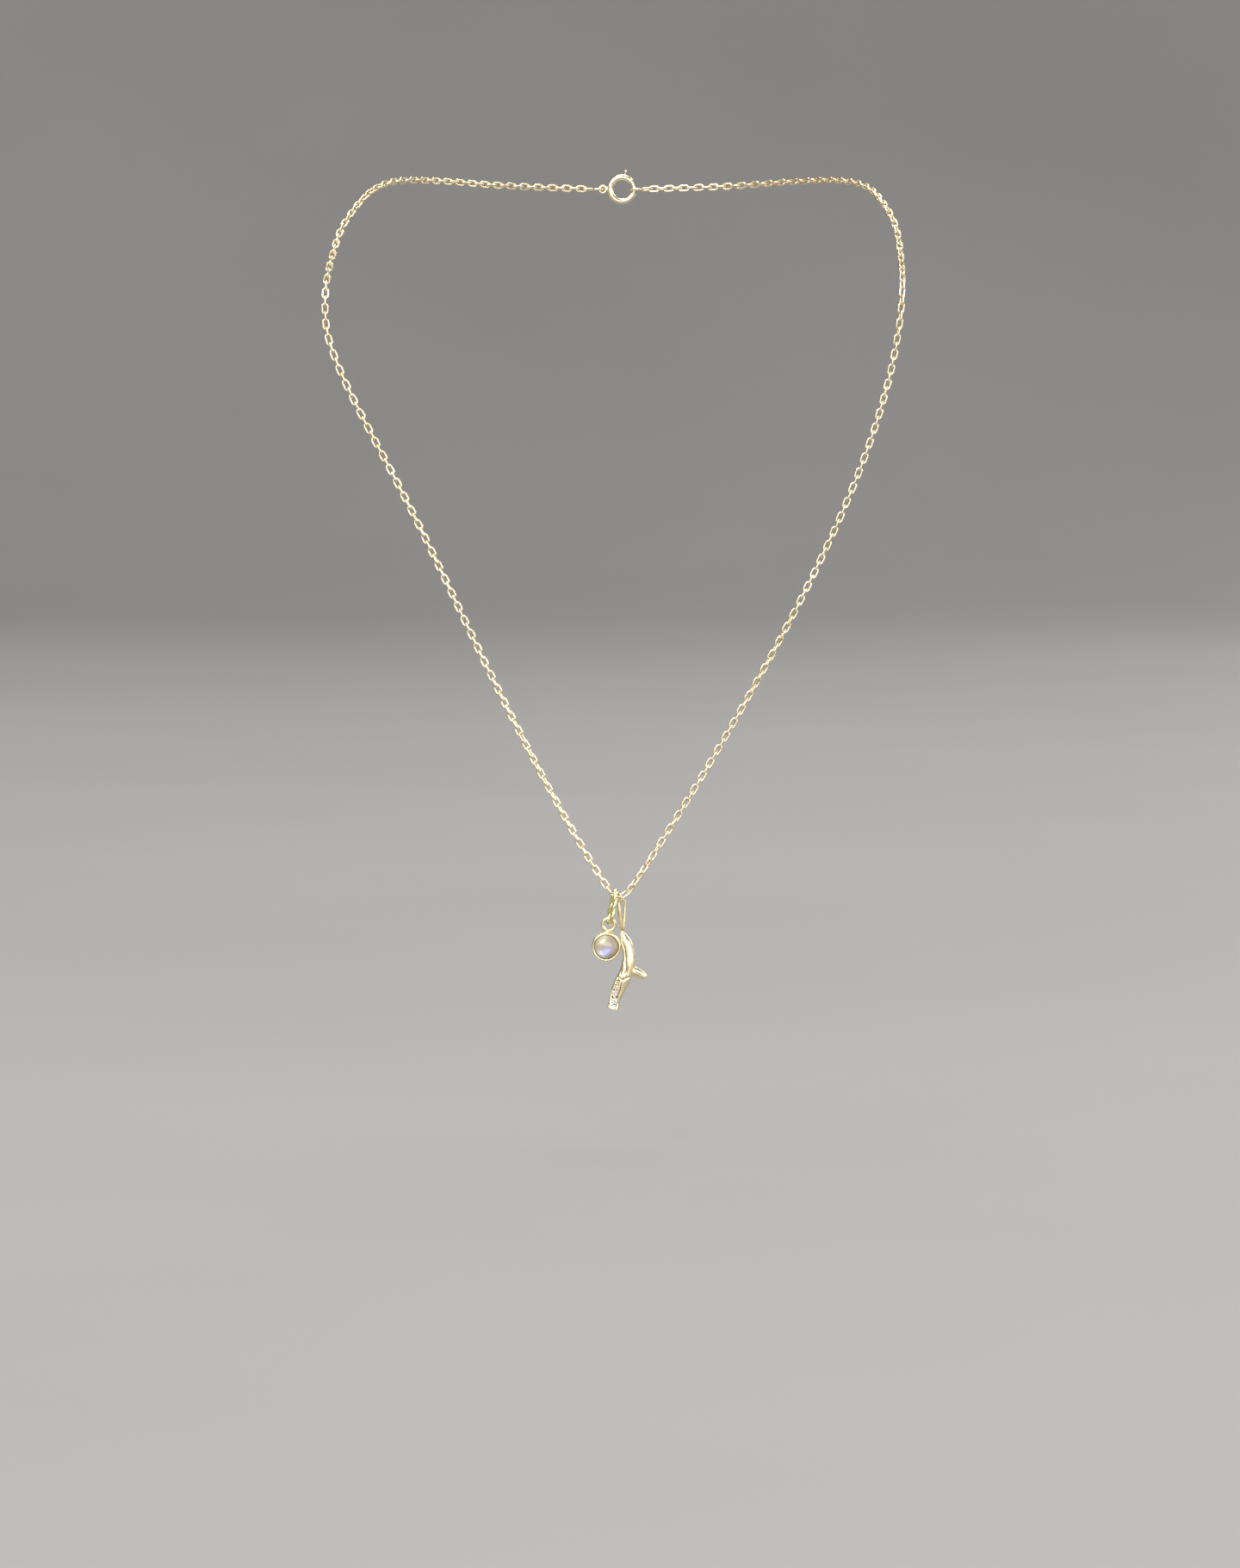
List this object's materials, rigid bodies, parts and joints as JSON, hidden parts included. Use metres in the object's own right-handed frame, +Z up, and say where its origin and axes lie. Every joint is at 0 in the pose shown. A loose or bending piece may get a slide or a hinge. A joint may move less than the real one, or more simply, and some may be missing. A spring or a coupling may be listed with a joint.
{
  "type": "pendant necklace",
  "caption": "Fine gold cable-chain necklace with a twig-shaped pendant set with small stones and a round cabochon charm on a twisted oval ring.",
  "frame": {"origin": "centre of the neck loop at the height of the nape, where the wearer's neck holds the necklace up", "axes": "+X to the viewer's right as the necklace hangs, -Y forward to the viewer, +Z up"},
  "size_m": [0.1032, 0.0497, 0.1502],
  "materials": {
    "chain_gold": "polished",
    "branch_gold": "polished with a bark texture",
    "rope_gold": "polished, greener gold",
    "charm_gold": "polished",
    "clasp_gold": "polished",
    "moonstone": "milky cabochon with a blue flash",
    "diamond": "brilliant cut"
  },
  "bodies": {
    "neck_chain": {"shoulder_left": "chain_gold", "shoulder_right": "chain_gold", "nape_left_1": "chain_gold", "nape_left_2": "chain_gold", "nape_right_1": "chain_gold", "nape_right_2": "chain_gold", "clasp_jump_ring": "clasp_gold", "catch_ring": "clasp_gold"},
    "chain_tier_1": {"chain_left_1": "chain_gold", "chain_right_1": "chain_gold"},
    "chain_tier_2": {"chain_left_2": "chain_gold", "chain_right_2": "chain_gold"},
    "chain_tier_3": {"chain_left_3": "chain_gold", "chain_right_3": "chain_gold"},
    "chain_tier_4": {"chain_left_4": "chain_gold", "chain_right_4": "chain_gold"},
    "chain_tier_5": {"chain_left_5": "chain_gold", "chain_right_5": "chain_gold"},
    "chain_tier_6": {"chain_left_6": "chain_gold", "chain_right_6": "chain_gold", "chain_v_bottom": "chain_gold"},
    "clasp": {"clasp_ring": "clasp_gold", "clasp_eye": "clasp_gold", "clasp_spring": "clasp_gold"},
    "clasp_bolt": {"clasp_bolt": "clasp_gold"},
    "rope_ring": {"rope_ring": "rope_gold"},
    "charm": {"charm_eye": "charm_gold", "bezel_cup": "charm_gold", "moonstone": "moonstone"},
    "drop_link": {"drop_link": "chain_gold"},
    "branch": {"branch_body": "branch_gold", "branch_bail": "branch_gold", "pave_stone_1": "diamond", "pave_stone_2": "diamond", "pave_stone_3": "diamond", "pave_stone_4": "diamond", "pave_stone_5": "diamond"}
  },
  "joints": [
    {"name": "chain_tier_1_swing", "type": "hinge", "parent": "neck_chain", "child": "chain_tier_1", "pos_m": [-0.0013, -0.021, -0.027], "axis": [-1, 0, 0], "range_deg": [-20, 70]},
    {"name": "chain_tier_2_swing", "type": "hinge", "parent": "chain_tier_1", "child": "chain_tier_2", "pos_m": [0.00032, -0.021, -0.044], "axis": [-1, 0, 0], "range_deg": [-25, 35]},
    {"name": "chain_tier_3_swing", "type": "hinge", "parent": "chain_tier_2", "child": "chain_tier_3", "pos_m": [0.00137, -0.021, -0.061], "axis": [-1, 0, 0], "range_deg": [-25, 35]},
    {"name": "chain_tier_4_swing", "type": "hinge", "parent": "chain_tier_3", "child": "chain_tier_4", "pos_m": [0.00128, -0.021, -0.078], "axis": [-1, 0, 0], "range_deg": [-25, 35]},
    {"name": "chain_tier_5_swing", "type": "hinge", "parent": "chain_tier_4", "child": "chain_tier_5", "pos_m": [0.00072, -0.021, -0.095], "axis": [-1, 0, 0], "range_deg": [-25, 35]},
    {"name": "chain_tier_6_swing", "type": "hinge", "parent": "chain_tier_5", "child": "chain_tier_6", "pos_m": [0.00016, -0.021, -0.1115], "axis": [-1, 0, 0], "range_deg": [-25, 35]},
    {"name": "clasp_roll", "type": "hinge", "parent": "neck_chain", "child": "clasp", "pos_m": [0.00035, 0.0255, 0], "axis": [1, 0, 0], "range_deg": [-25, 25]},
    {"name": "clasp_bolt_pull", "type": "hinge", "parent": "clasp", "child": "clasp_bolt", "pos_m": [0.00035, 0.0255, 0], "axis": [0, -1, 0], "range_deg": [0, 48], "stiffness_Nm_per_rad": 0.002, "springref_deg": -17.19, "deforming": ["clasp_spring"]},
    {"name": "rope_ring_swing", "type": "hinge", "parent": "chain_tier_6", "child": "rope_ring", "pos_m": [-0.00083, -0.021, -0.12626], "axis": [-1, 0, 0], "range_deg": [-50, 50]},
    {"name": "charm_swing", "type": "hinge", "parent": "rope_ring", "child": "charm", "pos_m": [-0.0019, -0.021, -0.1312], "axis": [0, 1, 0], "range_deg": [0, 60]},
    {"name": "drop_link_swing", "type": "hinge", "parent": "chain_tier_6", "child": "drop_link", "pos_m": [-0.0001, -0.021, -0.12644], "axis": [-1, 0, 0], "range_deg": [-35, 35]},
    {"name": "branch_swing", "type": "hinge", "parent": "drop_link", "child": "branch", "pos_m": [-0.00012, -0.021, -0.12719], "axis": [0, 1, 0], "range_deg": [-50, 0]}
  ]
}
